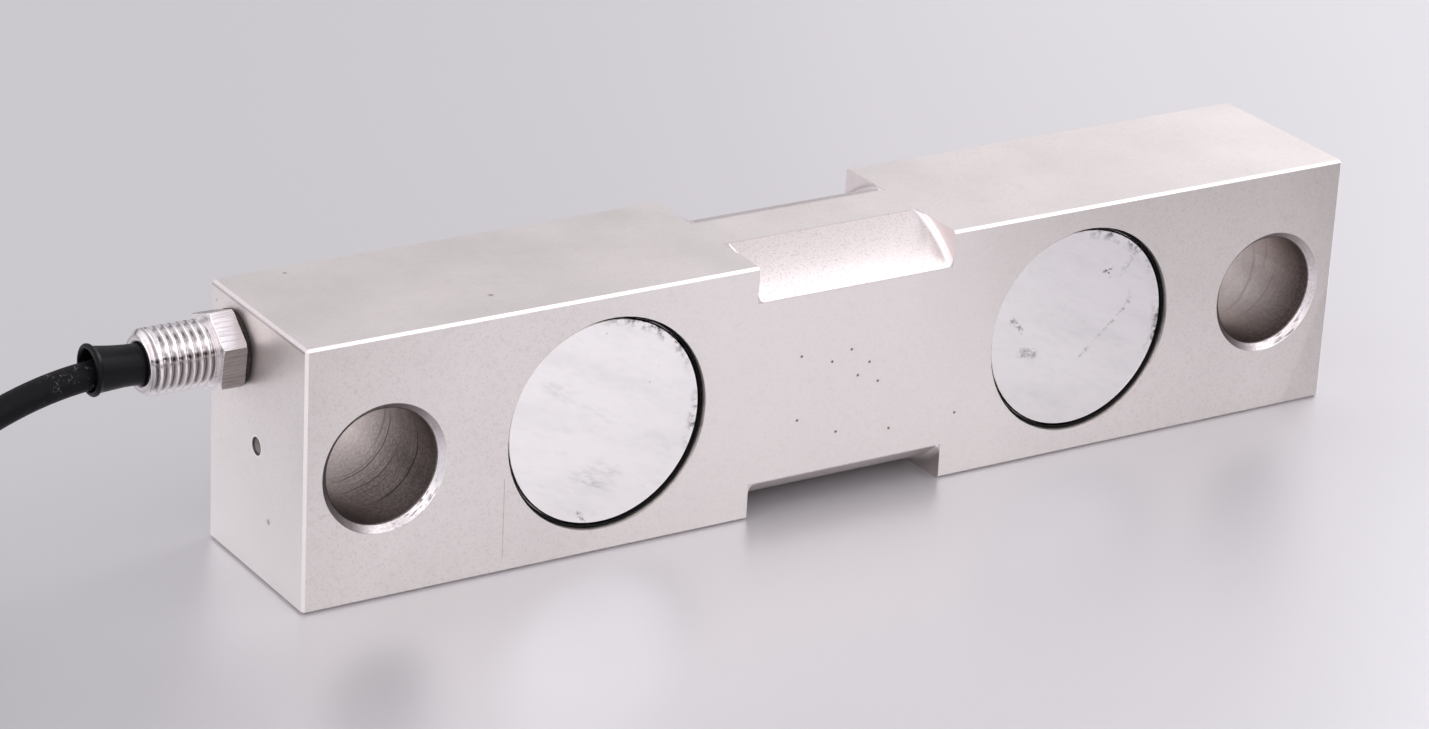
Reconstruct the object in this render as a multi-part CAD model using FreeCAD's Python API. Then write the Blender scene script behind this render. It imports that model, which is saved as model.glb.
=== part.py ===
import FreeCAD, Part
import math
import os
from FreeCAD import Vector

# Double ended shear beam load cell, in millimetres.
# X runs along the beam, Y across it, Z up. The origin is under the middle of the beam,
# on the surface that it stands on. The cable leaves the end at -X.

# Beam block
beam_length = 222.0
beam_width = 36.0
beam_height = 49.2
edge_chamfer = 0.5

# Turned neck, where the load ring or saddle sits
neck_length = 42.0
neck_radius = 25.25
neck_fillet = 1.4

# End holes for the fixing pins
end_hole_radius = 10.75
end_hole_from_end = 15.5
end_hole_chamfer = 1.3

# Gauge pockets, one from the front and one from the back on each side of the neck
pocket_from_middle = 51.2
pocket_radius = 20.2
cavity_radius = 17.5
cavity_corner = 1.5
web_thickness = 7.0
cover_recess = 1.2
cover_thickness = 1.6
cover_gap = 0.75
cover_chamfer = 0.25
sealant_below_cover = 0.25
sealant_dip = 0.3
sealant_bank = 0.2
fit_gap = 0.03

# Turning centres in the end faces
centre_mouth_radius = 1.7
centre_angle = 30.0
centre_pilot_radius = 0.8
centre_pilot_depth = 2.0

# Cable port and wiring bores
port_y = 8.7
port_above_axis = 15.35
port_radius = 5.05
port_depth = 8.0
wiring_bore_radius = 2.25
web_bore_radius = 2.0
web_bore_above_axis = 13.0

# Strain gauges, solder tabs and their protective coats
gauge_length = 11.0
gauge_height = 9.0
gauge_thickness = 0.12
gauge_corner = 1.0
tab_length = 6.0
tab_height = 2.4
tab_thickness = 0.3
tab_gap = 1.2
coat_radius = 11.6
coat_thickness = 1.8
coat_chamfer = 0.7

# Trim board in the back pocket next to the cable, with its three chips
board_radius = 10.6
board_thickness = 1.0
chip_length = 2.4
chip_width = 1.3
chip_height = 0.5
chip_pitch = 3.6
chip_count = 3

# Inner leads
core_bundle_radius = 1.3
link_lead_radius = 1.0
cross_lead_radius = 0.8
lead_offset = 6.2
lead_above_axis = 6.0

# Cable fitting
seal_radius = 6.8
seal_thickness = 1.0
seal_chamfer = 0.3
hex_across_flats = 13.4
hex_thickness = 4.6
hex_turn = 8.9
hex_chamfer_angle = 30.0
hex_chamfer_outset = 0.6
nose_radius = 6.0
nose_length = 12.7
nose_chamfer = 0.9
stub_radius = 5.0
stub_length = 7.4
fitting_bore_radius = 2.0

# Rubber sleeve round the cable
sleeve_radius = 3.7
sleeve_end_radius = 4.15
sleeve_length = 9.5
sleeve_root_length = 9.5
sleeve_mouth_radius = 3.5
sleeve_rim_radius = 4.7
sleeve_rim_length = 2.0
sleeve_bore_gap = 0.1

# Cable
cable_radius = 2.6
jacket_inset = 1.7
sleeve_lead = 6.0
bend_share = 0.45

# Hank of spare cable, lying flat beyond the beam's end, and the tie round it
hank_from_sleeve = 73.2
hank_run = 72.5
hank_fold_radius = 15.6
hank_columns = 3
hank_rows = 6
hank_tail = 26.0
hank_skin = 0.1
hank_gap = 0.1
hank_chamfer = 1.5
waist_cut = 1.0
tie_width = 4.6
tie_thickness = 1.1
tie_from_fold = 32.0
tie_head_length = 6.4
tie_head_width = 6.8
tie_head_height = 4.2
tie_head_round = 0.6
tie_tail_length = 7.0
tie_tail_root = 0.2

# Cores and screen wire of the cable at its bare end
core_radius = 0.75
core_tip_radius = 0.4
core_tip_length = 6.0
core_tip_root = 1.0
screen_radius = 0.4

# How far a cutting tool runs past the surface that it enters
overrun = 1.0

# Places that several pieces share
beam_end = beam_length / 2
beam_face = beam_width / 2
beam_axis = beam_height / 2
web_face = web_thickness / 2
seat_face = beam_face - cover_recess - cover_thickness
cover_radius = pocket_radius - cover_gap
port_z = beam_axis + port_above_axis
hex_inner_x = -beam_end - seal_thickness
hex_outer_x = hex_inner_x - hex_thickness
nose_end_x = hex_outer_x - nose_length
sleeve_end_x = nose_end_x - sleeve_length
sleeve_root_x = nose_end_x + sleeve_root_length
coat_face = web_face + coat_thickness
board_face = coat_face + board_thickness
tab_top = beam_axis + gauge_height / 2 + tab_gap + tab_height
hank_near_x = sleeve_end_x - hank_from_sleeve
hank_far_x = hank_near_x - hank_run
hank_y = port_y
hank_width = 2 * cable_radius * hank_columns
hank_height = 2 * cable_radius * hank_rows
hank_outer_radius = hank_fold_radius - cable_radius + hank_width
hank_reach = hank_fold_radius + 2 * cable_radius * (hank_columns - 1)
hank_entry_z = hank_height - cable_radius
toward_cable = Vector(-1, 0, 0)
along = Vector(1, 0, 0)
across = Vector(0, 1, 0)
up = Vector(0, 0, 1)

# The cable's route from its cut jacket inside the fitting to the hank, point by point
cable_route = [
    (sleeve_root_x - jacket_inset, port_y, port_z),
    (sleeve_end_x + sleeve_lead, port_y, port_z),
    (sleeve_end_x - 6.0, port_y, port_z - 1.05),
    (sleeve_end_x - 18.0, port_y, port_z - 4.8),
    (hank_near_x + 41.9, hank_y - 4.65, hank_entry_z + 2.6),
    (hank_near_x + 23.4, hank_y - 21.3, hank_entry_z + 0.3),
    (hank_near_x + 11.2, hank_y - hank_reach, hank_entry_z),
    (hank_near_x, hank_y - hank_reach, hank_entry_z),
]

# Routes of the bare ends, as steps from the middle of the cut jacket's face
end_routes = {
    "core_red": [(0, 1.15, 0), (4, 1.15, 0), (13, 1.7, -1.85), (21.5, 1.8, -1.85)],
    "core_green": [(0, 0, 1.15), (5.5, 0, 1.15), (17, -0.1, -1.85), (24.5, -0.1, -1.85)],
    "core_black": [(0, 0, -1.15), (3.5, 0, -1.15), (10, -1.6, -1.85), (18.5, -1.9, -1.85)],
    "core_white": [(0, -1.15, 0), (3, -1.15, 0), (10, -3.7, -1.85), (21.5, -4.4, -1.85)],
    "screen_wire": [(0, -1.45, -1.45), (2.5, -1.45, -1.45), (8, -4.9, -2.2), (15.5, -6.6, -2.2)],
}


def rod(start, direction, radius, length):
    # A round bar, or the tool for a round hole
    return Part.makeCylinder(radius, length, Vector(*start), direction)


def slab(centre, size):
    # A block about its centre
    corner = Vector(*(c - s / 2 for c, s in zip(centre, size)))
    return Part.makeBox(*size, corner)


def turned(profile, start, direction):
    # Revolves a closed outline of (along, radius) points about an axis.
    # An item with two points is an arc through the first to the second.
    def place(point):
        return Vector(point[1], 0, point[0])

    edges = []
    here = profile[0]
    for item in profile[1:] + [profile[0]]:
        curved = isinstance(item[0], tuple)
        there = item[1] if curved else item
        if curved:
            edges.append(Part.Arc(place(here), place(item[0]), place(there)).toShape())
        elif there != here:
            edges.append(Part.LineSegment(place(here), place(there)).toShape())
        here = there
    solid = Part.Face(Part.Wire(edges)).revolve(Vector(), up, 360)
    solid.Placement = FreeCAD.Placement(Vector(*start), FreeCAD.Rotation(up, direction))
    return solid


def corner_radii(points):
    # The radius of the bend at each inner point of a route
    radii = []
    for before, corner, after in zip(points, points[1:], points[2:]):
        first, second = corner - before, after - corner
        half_turn = first.getAngle(second) / 2
        radii.append(bend_share * min(first.Length, second.Length) / math.tan(half_turn))
    return radii


def bent_path(route):
    # The centreline of a tube: straight runs joined by tangent arcs
    points = [Vector(*p) for p in route]
    edges = []
    start = points[0]
    bends = zip(points, points[1:], points[2:], corner_radii(points))
    for before, corner, after, bend in bends:
        first, second = (corner - before).normalize(), (after - corner).normalize()
        half_turn = first.getAngle(second) / 2
        setback = bend * math.tan(half_turn)
        bend_start, bend_end = corner - first * setback, corner + second * setback
        inward = (second - first).normalize()
        middle = corner + inward * (bend / math.cos(half_turn) - bend)
        edges.append(Part.LineSegment(start, bend_start).toShape())
        edges.append(Part.Arc(bend_start, middle, bend_end).toShape())
        start = bend_end
    edges.append(Part.LineSegment(start, points[-1]).toShape())
    return Part.Wire(edges)


def tube(route, radius):
    start = Vector(*route[0])
    ring = Part.Wire(Part.makeCircle(radius, start, Vector(*route[1]) - start))
    return bent_path(route).makePipeShell([ring], True, False)


def rounded(shape, radius, chosen):
    return shape.makeFillet(radius, [e for e in shape.Edges if chosen(e)])


def neck_cutter():
    # The ring that the turning tool takes off between the two shoulders
    half = neck_length / 2
    clear = math.hypot(beam_width, beam_height)
    lean = neck_fillet * (1 - math.sqrt(0.5))
    profile = [
        (-half, clear),
        (-half, neck_radius + neck_fillet),
        ((-half + lean, neck_radius + lean), (-half + neck_fillet, neck_radius)),
        (half - neck_fillet, neck_radius),
        ((half - lean, neck_radius + lean), (half, neck_radius + neck_fillet)),
        (half, clear),
    ]
    return turned(profile, (0, 0, beam_axis), along)


def end_hole_cutter(x):
    # A hole across the beam with a chamfer at each mouth
    mouth = end_hole_radius + end_hole_chamfer
    step = end_hole_chamfer
    profile = [
        (-beam_face - step, 0.0),
        (-beam_face - step, mouth + step),
        (-beam_face + step, end_hole_radius),
        (beam_face - step, end_hole_radius),
        (beam_face + step, mouth + step),
        (beam_face + step, 0.0),
    ]
    return turned(profile, (x, 0, beam_axis), across)


def pocket_cutter(x, side):
    # A gauge cavity down to the web, with a wider seat for the cover
    profile = [
        (web_face, 0.0),
        (web_face, cavity_radius - cavity_corner),
        (web_face + cavity_corner, cavity_radius),
        (seat_face, cavity_radius),
        (seat_face, pocket_radius),
        (beam_face + cover_recess, pocket_radius),
        (beam_face + cover_recess, 0.0),
    ]
    return turned(profile, (x, 0, beam_axis), across * side)


def centre_cutter(side):
    # A turning centre: a cone at the mouth and a small pilot hole behind it
    cone_depth = (centre_mouth_radius - centre_pilot_radius) / math.tan(math.radians(centre_angle))
    profile = [
        (-overrun, 0.0),
        (-overrun, centre_mouth_radius),
        (0.0, centre_mouth_radius),
        (cone_depth, centre_pilot_radius),
        (cone_depth + centre_pilot_depth, centre_pilot_radius),
        (cone_depth + centre_pilot_depth, 0.0),
    ]
    return turned(profile, (side * beam_end, 0, beam_axis), along * -side)


def beam_body():
    block = slab((0, 0, beam_axis), (beam_length, beam_width, beam_height))
    block = block.makeChamfer(edge_chamfer, block.Edges)
    cutters = [neck_cutter()]
    for side in (-1, 1):
        cutters.append(end_hole_cutter(side * (beam_end - end_hole_from_end)))
        cutters.append(centre_cutter(side))
        web_bore = (side * pocket_from_middle, -web_thickness, beam_axis + web_bore_above_axis)
        cutters.append(rod(web_bore, across, web_bore_radius, 2 * web_thickness))
        for face in (-1, 1):
            cutters.append(pocket_cutter(side * pocket_from_middle, face))
    port_start = (-beam_end - overrun, port_y, port_z)
    cutters.append(rod(port_start, along, port_radius, port_depth + overrun))
    bore_length = beam_end + pocket_from_middle
    cutters.append(rod((-beam_end, port_y, port_z), along, wiring_bore_radius, bore_length))
    for cutter in cutters:
        block = block.cut(cutter)
    return block


def cover(x, side):
    # A round plate on its seat, with a broken edge on the outside
    outer = seat_face + cover_thickness
    profile = [
        (seat_face, 0.0),
        (seat_face, cover_radius),
        (outer - cover_chamfer, cover_radius),
        (outer, cover_radius - cover_chamfer),
        (outer, 0.0),
    ]
    return turned(profile, (x, 0, beam_axis), across * side)


def sealant_bead(x, side):
    # The bead between a cover's rim and the pocket's wall, sunk between its two banks
    inner = cover_radius + fit_gap
    outer = pocket_radius - fit_gap
    level = seat_face + cover_thickness - sealant_below_cover
    profile = [
        (seat_face, inner),
        (level, inner),
        (level - sealant_dip, inner + sealant_bank),
        (level - sealant_dip, outer - sealant_bank),
        (level, outer),
        (seat_face, outer),
    ]
    return turned(profile, (x, 0, beam_axis), across * side)


def strain_gauge(x, side):
    # A foil gauge on its backing film, bonded to the middle of the web
    y = side * (web_face + gauge_thickness / 2)
    film = slab((x, y, beam_axis), (gauge_length, gauge_thickness, gauge_height))
    return rounded(film, gauge_corner, lambda e: abs(e.tangentAt(e.FirstParameter).y) > 0.99)


def solder_tab(x, side):
    # The strip of solder tabs above a gauge
    y = side * (web_face + tab_thickness / 2)
    return slab((x, y, tab_top - tab_height / 2), (tab_length, tab_thickness, tab_height))


def gauge_coat(x, side):
    # The soft coat over a gauge, its tabs and the ends of the leads, moulded round them all
    profile = [
        (web_face, 0.0),
        (web_face, coat_radius),
        (coat_face - coat_chamfer, coat_radius),
        (coat_face, coat_radius - coat_chamfer),
        (coat_face, 0.0),
    ]
    coat = turned(profile, (x, 0, beam_axis), across * side)
    return coat.cut(strain_gauge(x, side)).cut(solder_tab(x, side)).cut(cross_leads(x))


def trim_board():
    start = (-pocket_from_middle, coat_face, beam_axis)
    return rod(start, across, board_radius, board_thickness)


def trim_chips():
    # A short row of trim resistors on the board
    y = board_face + chip_height / 2
    chips = []
    for place in range(chip_count):
        x = -pocket_from_middle + (place - (chip_count - 1) / 2) * chip_pitch
        chips.append(slab((x, y, beam_axis - chip_pitch), (chip_length, chip_height, chip_width)))
    return Part.makeCompound(chips)


def cable_cores():
    # The cable's cores from the cut jacket through the end block to the trim board
    x = -pocket_from_middle - lead_offset
    z = beam_axis + lead_above_axis
    route = [cable_route[0], (x, port_y, port_z), (x, port_y, z), (x, board_face, z)]
    return tube(route, core_bundle_radius)


def link_leads():
    # Leads from the trim board through the neck to the other side's gauges
    x = pocket_from_middle - lead_offset
    z = beam_axis + lead_above_axis
    route = [
        (-x, board_face, z),
        (-x, port_y, z),
        (-x, port_y, port_z),
        (x, port_y, port_z),
        (x, port_y, z),
        (x, coat_face, z),
    ]
    return tube(route, link_lead_radius)


def cross_leads(x):
    # Leads from the tabs on the front of a web, through the web, to the tabs on its back
    y = web_face + cross_lead_radius + fit_gap
    z = beam_axis + web_bore_above_axis
    return tube([(x, -y, tab_top), (x, -y, z), (x, y, z), (x, y, tab_top)], cross_lead_radius)


def fitting_seal():
    # The round rubber washer under the hexagon
    profile = [
        (0.0, port_radius),
        (0.0, seal_radius - seal_chamfer),
        (seal_chamfer, seal_radius),
        (seal_thickness - seal_chamfer, seal_radius),
        (seal_thickness, seal_radius - seal_chamfer),
        (seal_thickness, port_radius),
    ]
    return turned(profile, (-beam_end, port_y, port_z), toward_cable)


def hexagon():
    # The hexagon, with its corners turned off at both faces
    flat = hex_across_flats / 2
    corner = flat / math.cos(math.radians(30))
    points = []
    for step in range(7):
        angle = math.radians(hex_turn + 60 * step)
        y = port_y - corner * math.sin(angle)
        z = port_z + corner * math.cos(angle)
        points.append(Vector(hex_inner_x, y, z))
    prism = Part.Face(Part.makePolygon(points)).extrude(toward_cable * hex_thickness)
    lean = math.tan(math.radians(hex_chamfer_angle))
    chamfer_start = flat + hex_chamfer_outset
    reach = corner + overrun
    profile = [
        (0.0, 0.0),
        (0.0, chamfer_start),
        ((reach - chamfer_start) * lean, reach),
        (hex_thickness - (reach - chamfer_start) * lean, reach),
        (hex_thickness, chamfer_start),
        (hex_thickness, 0.0),
    ]
    return prism.common(turned(profile, (hex_inner_x, port_y, port_z), toward_cable))


def cable_fitting():
    # Hexagon, threaded nose and stub in one turned piece, bored for the sleeve and the cores
    nose = [
        (0.0, 0.0),
        (0.0, nose_radius),
        (nose_length - nose_chamfer, nose_radius),
        (nose_length, nose_radius - nose_chamfer),
        (nose_length, 0.0),
    ]
    body = hexagon().fuse(turned(nose, (hex_outer_x, port_y, port_z), toward_cable))
    body = body.fuse(rod((hex_inner_x, port_y, port_z), along, stub_radius, seal_thickness + stub_length))
    mouth = (nose_end_x - overrun, port_y, port_z)
    length = seal_thickness + stub_length + hex_thickness + nose_length
    body = body.cut(rod(mouth, along, fitting_bore_radius, length + 2 * overrun))
    body = body.cut(rod(mouth, along, sleeve_radius + fit_gap, sleeve_root_length + overrun))
    return body.removeSplitter()


def cable_sleeve():
    # The rubber sleeve: a straight root in the fitting, a flared end and a round rim
    root = -sleeve_root_length
    bore = cable_radius + sleeve_bore_gap
    rim_start = sleeve_length - sleeve_rim_length
    rim_middle = sleeve_length - sleeve_rim_length / 2
    lip = (sleeve_rim_radius + sleeve_mouth_radius) / 2
    profile = [
        (root, bore),
        (root, sleeve_radius),
        (0.0, sleeve_radius),
        (rim_start, sleeve_end_radius),
        ((rim_middle, sleeve_rim_radius), (sleeve_length, lip)),
        (sleeve_length, sleeve_mouth_radius),
        (0.0, bore),
    ]
    return turned(profile, (nose_end_x, port_y, port_z), toward_cable)


def hank_section():
    # The section of the wound cable with its corners broken, on the front side at the near fold
    outer, inner = hank_y - hank_outer_radius, hank_y - hank_outer_radius + hank_width
    corners = [(outer, 0, 1, 1), (inner, 0, -1, 1), (inner, hank_height, -1, -1), (outer, hank_height, 1, -1)]
    outline = []
    for y, z, to_y, to_z in corners:
        level = Vector(hank_near_x, y + to_y * hank_chamfer, z)
        beside = Vector(hank_near_x, y, z + to_z * hank_chamfer)
        outline += [beside, level] if to_y == to_z else [level, beside]
    return Part.Face(Part.makePolygon(outline + outline[:1]))


def tie_loop(outset, width):
    # A block round one straight side of the hank, grown by an outset all round
    y = hank_y + hank_outer_radius - hank_width / 2
    size = (width, hank_width + 2 * outset, hank_height + 2 * outset)
    return slab((hank_near_x - tie_from_fold, y, hank_height / 2), size)


def free_quarter(side, low):
    # The quarter of the near fold where an end of the cable passes the outermost turn
    centre = Vector(hank_near_x, hank_y, low)
    ring = Part.makeCylinder(2 * hank_outer_radius, hank_height, centre, up)
    ring = ring.cut(Part.makeCylinder(hank_outer_radius - 2 * cable_radius, hank_height, centre, up))
    size = 2 * hank_outer_radius
    quarter = (hank_near_x + size / 2, hank_y + side * size / 2, low + hank_height / 2)
    return ring.common(slab(quarter, (size, size, hank_height)))


def cable_hank():
    # The outer shape of the wound cable, with the tie's waist and the cable's tail
    front = hank_section()
    back = front.copy()
    back.rotate(Vector(hank_near_x, hank_y, 0), up, 180)
    at_far_fold = front.translated(toward_cable * hank_run)
    block = front.extrude(toward_cable * hank_run).fuse(back.extrude(toward_cable * hank_run))
    block = block.fuse(front.revolve(Vector(hank_near_x, hank_y, 0), up, 180))
    block = block.fuse(at_far_fold.revolve(Vector(hank_far_x, hank_y, 0), up, -180)).removeSplitter()
    groove = tie_loop(waist_cut, tie_width + 2 * fit_gap).cut(tie_loop(-tie_thickness, 2 * tie_width))
    block = block.cut(groove)
    block = block.cut(free_quarter(-1, hank_height - 2 * cable_radius - hank_gap))
    block = block.cut(free_quarter(1, hank_gap - hank_height + 2 * cable_radius))
    tail_start = (hank_near_x - cable_radius, hank_y + hank_reach, cable_radius)
    return block.fuse(rod(tail_start, along, cable_radius - hank_skin, cable_radius + hank_tail))


def hank_tie():
    # A moulded tie: the band in the waist, its head on top and its cut tail
    band = tie_loop(0, tie_width).cut(tie_loop(fit_gap - tie_thickness, 2 * tie_width))
    x = hank_near_x - tie_from_fold
    y = hank_y + hank_outer_radius - hank_width / 2
    z = hank_height + tie_head_height / 2
    head = slab((x, y, z), (tie_head_width, tie_head_length, tie_head_height))
    head = rounded(head, tie_head_round, lambda e: e.BoundBox.ZMax > hank_height + fit_gap)
    tail_y = y - (tie_head_length + tie_tail_length) / 2
    tail = slab((x, tail_y, z), (tie_width, tie_tail_length + 2 * tie_tail_root, tie_thickness))
    return band.fuse(head).fuse(tail)


def bare_end(name):
    # One core or the screen wire, fanned out on the surface past the cut jacket
    origin = Vector(hank_near_x + hank_tail, hank_y + hank_reach, cable_radius)
    route = [origin + Vector(*step) for step in end_routes[name]]
    if name == "screen_wire":
        return tube(route, screen_radius)
    heading = (route[-1] - route[-2]).normalize()
    tip_start = route[-1] - heading * core_tip_root
    tip = rod(tip_start, heading, core_tip_radius, core_tip_root + core_tip_length)
    return tube(route, core_radius).fuse(tip)


parts = {
    "beam_body": beam_body(),
    "cable_fitting": cable_fitting(),
    "fitting_seal": fitting_seal(),
    "cable_sleeve": cable_sleeve(),
    "cable_cores": cable_cores(),
    "link_leads": link_leads(),
    "trim_board": trim_board(),
    "trim_chips": trim_chips(),
    "cable_tube": tube(cable_route, cable_radius),
    "cable_hank": cable_hank(),
    "hank_tie": hank_tie(),
}
for end_name in end_routes:
    parts[end_name] = bare_end(end_name)
for end, x in (("left", -pocket_from_middle), ("right", pocket_from_middle)):
    for face, side in (("front", -1), ("back", 1)):
        parts[f"cover_{face}_{end}"] = cover(x, side)
        parts[f"sealant_{face}_{end}"] = sealant_bead(x, side)
        parts[f"gauge_{face}_{end}"] = strain_gauge(x, side)
        parts[f"solder_tab_{face}_{end}"] = solder_tab(x, side)
        parts[f"gauge_coat_{face}_{end}"] = gauge_coat(x, side)
    parts[f"cross_leads_{end}"] = cross_leads(x)

os.makedirs("parts", exist_ok=True)
for name, shape in parts.items():
    shape.exportStep(f"parts/{name}.step")

bends = corner_radii([Vector(*p) for p in cable_route])
print("pieces", len(parts))
print("cable bend radii, mm", [round(r, 1) for r in bends])
drawn_volume = math.pi * cable_radius ** 2 * bent_path(cable_route).Length
print("cable volume over section times length", round(parts["cable_tube"].Volume / drawn_volume, 5))
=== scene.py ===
import bpy
import bmesh
import math
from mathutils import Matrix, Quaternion, Vector
from types import SimpleNamespace


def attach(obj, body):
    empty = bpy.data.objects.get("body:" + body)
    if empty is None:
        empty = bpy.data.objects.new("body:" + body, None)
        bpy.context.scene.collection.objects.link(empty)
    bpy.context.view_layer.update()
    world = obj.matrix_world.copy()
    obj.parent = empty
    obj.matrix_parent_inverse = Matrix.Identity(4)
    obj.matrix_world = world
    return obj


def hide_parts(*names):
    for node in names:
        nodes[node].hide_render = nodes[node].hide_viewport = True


# Double ended shear beam load cell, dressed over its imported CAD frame.
# Metres. X runs along the beam, Y across it, Z up. The cable leaves the end at -X.

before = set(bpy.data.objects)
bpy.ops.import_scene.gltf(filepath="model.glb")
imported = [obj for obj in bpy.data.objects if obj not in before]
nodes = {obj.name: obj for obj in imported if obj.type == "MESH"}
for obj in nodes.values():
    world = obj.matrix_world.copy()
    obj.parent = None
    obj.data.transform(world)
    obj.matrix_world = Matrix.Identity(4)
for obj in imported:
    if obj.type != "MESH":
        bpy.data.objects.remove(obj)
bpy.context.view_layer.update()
scene = bpy.context.scene
scene.view_settings.view_transform = "Standard"
print("frame loaded,", len(nodes), "nodes")


# Small helpers for meshes and node trees

def addObject(name, data):
    made = bpy.data.objects.new(name, data)
    scene.collection.objects.link(made)
    return made


def meshObject(name, points, faces, creaseAngle=30):
    mesh = bpy.data.meshes.new(name)
    mesh.from_pydata(points, [], faces)
    tidy = bmesh.new()
    tidy.from_mesh(mesh)
    bmesh.ops.remove_doubles(tidy, verts=tidy.verts, dist=1e-7)
    bmesh.ops.recalc_face_normals(tidy, faces=tidy.faces)
    tidy.to_mesh(mesh)
    tidy.free()
    mesh.shade_smooth()
    mesh.set_sharp_from_angle(angle=math.radians(creaseAngle))
    return addObject(name, mesh)


def ringLoft(rings, closed=False):
    # Quads between rings of equal point count; closed joins the last ring to the first
    points = [p for ring in rings for p in ring]
    count = len(rings[0])
    faces = []
    last = len(rings) if closed else len(rings) - 1
    for row in range(last):
        below, above = row * count, (row + 1) % len(rings) * count
        for i in range(count):
            j = (i + 1) % count
            faces.append((below + i, below + j, above + j, above + i))
    return points, faces


def plug(tree, socket, value):
    if isinstance(value, bpy.types.NodeSocket):
        tree.links.new(value, socket)
    else:
        socket.default_value = value


def addNode(tree, kind, settings=None, **inputs):
    node = tree.nodes.new(kind)
    for name, value in (settings or {}).items():
        setattr(node, name, value)
    for name, value in inputs.items():
        plug(tree, node.inputs[name.replace("_", " ")], value)
    return node


def calc(tree, operation, *values, clamp=False):
    node = tree.nodes.new("ShaderNodeMath")
    node.operation = operation
    node.use_clamp = clamp
    for socket, value in zip(node.inputs, values):
        plug(tree, socket, value)
    return node.outputs[0]


def remap(tree, value, fromLow, fromHigh, toLow=0.0, toHigh=1.0):
    node = addNode(tree, "ShaderNodeMapRange", Value=value, From_Min=fromLow, From_Max=fromHigh,
                   To_Min=toLow, To_Max=toHigh)
    return node.outputs[0]


def fold(tree, operation, values):
    # One operation over two or more values, from the left
    result = values[0]
    for value in values[1:]:
        result = calc(tree, operation, result, value)
    return result


def product(tree, *values):
    return fold(tree, "MULTIPLY", values)


def total(tree, *values):
    return fold(tree, "ADD", values)


def highest(tree, *values):
    return fold(tree, "MAXIMUM", values)


def minus(tree, first, second):
    return calc(tree, "SUBTRACT", first, second)


def scaled(tree, value, factor, offset):
    return calc(tree, "MULTIPLY_ADD", value, factor, offset)


def absolute(tree, value):
    return calc(tree, "ABSOLUTE", value)


def gap(tree, first, second):
    return absolute(tree, minus(tree, first, second))


def isAbove(tree, value, limit):
    return calc(tree, "GREATER_THAN", value, limit)


def isBelow(tree, value, limit):
    return calc(tree, "LESS_THAN", value, limit)


def distance(tree, first, second):
    return calc(tree, "SQRT", total(tree, calc(tree, "POWER", first, 2.0), calc(tree, "POWER", second, 2.0)))


def degreesRound(tree, first, second):
    return product(tree, calc(tree, "ARCTAN2", first, second), 180 / math.pi)


def axes(tree, vector):
    return addNode(tree, "ShaderNodeSeparateXYZ", Vector=vector).outputs


def window(tree, value, low, high, soft):
    # One between low and high, fading out over soft at both ends
    rise = remap(tree, value, low - soft, low + soft)
    fall = remap(tree, value, high - soft, high + soft, 1.0, 0.0)
    return product(tree, rise, fall)


def noise(tree, vector, scale, detail=3.0, roughness=0.55):
    return addNode(tree, "ShaderNodeTexNoise", Vector=vector, Scale=scale, Detail=detail,
                   Roughness=roughness).outputs[0]


def combine(tree, x, y, z):
    return addNode(tree, "ShaderNodeCombineXYZ", X=x, Y=y, Z=z).outputs[0]


def colour(red, green, blue):
    # Screen values of 0 to 255 as the shader's linear colour
    def linear(value):
        value /= 255
        return value / 12.92 if value <= 0.04045 else ((value + 0.055) / 1.055) ** 2.4
    return (linear(red), linear(green), linear(blue), 1.0)


def mix(tree, factor, first, second, blend="MIX"):
    # Each colour is a socket or three screen values
    node = tree.nodes.new("ShaderNodeMix")
    node.data_type = "RGBA"
    node.blend_type = blend
    node.clamp_factor = True
    plug(tree, node.inputs[0], factor)
    for socket, shade in zip(node.inputs[6:8], (first, second)):
        plug(tree, socket, colour(*shade) if isinstance(shade, tuple) else shade)
    return node.outputs[2]


def newMaterial(name, **fixed):
    material = bpy.data.materials.new(name)
    material.use_nodes = True
    tree = material.node_tree
    tree.nodes.clear()
    output = tree.nodes.new("ShaderNodeOutputMaterial")
    surface = tree.nodes.new("ShaderNodeBsdfPrincipled")
    tree.links.new(surface.outputs[0], output.inputs[0])
    for key, value in fixed.items():
        surface.inputs[key.replace("_", " ")].default_value = value
    place = tree.nodes.new("ShaderNodeTexCoord").outputs["Object"]
    return material, tree, surface, place


def coat(tree, surface, base, rough, relief, strength, depth):
    # Colour, roughness and fine relief of a surface
    plug(tree, surface.inputs["Base Color"], base)
    plug(tree, surface.inputs["Roughness"], rough)
    raised = addNode(tree, "ShaderNodeBump", Height=relief, Strength=strength, Distance=depth)
    tree.links.new(raised.outputs[0], surface.inputs["Normal"])


def dress(piece, material):
    piece.data.materials.clear()
    piece.data.materials.append(material)
    return piece


# Camera

camera = {
    "place": (-0.4467, -0.6606, 0.3536),
    "aim": (-0.0179, 0.0, 0.0231),
    "rollDegrees": 3.03,
    "lens": 117.95,
    "sensor": 36.0,
}


def makeCamera():
    lens = bpy.data.cameras.new("camera")
    lens.sensor_width = camera["sensor"]
    lens.lens = camera["lens"]
    lens.clip_start = 0.01
    lens.clip_end = 20
    eye = addObject("camera", lens)
    place = Vector(camera["place"])
    look = (Vector(camera["aim"]) - place).to_track_quat("-Z", "Y")
    eye.location = place
    eye.rotation_mode = "QUATERNION"
    eye.rotation_quaternion = look @ Quaternion((0, 0, 1), math.radians(camera["rollDegrees"]))
    scene.camera = eye


makeCamera()
print("camera set")


# Cable with its hank

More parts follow.
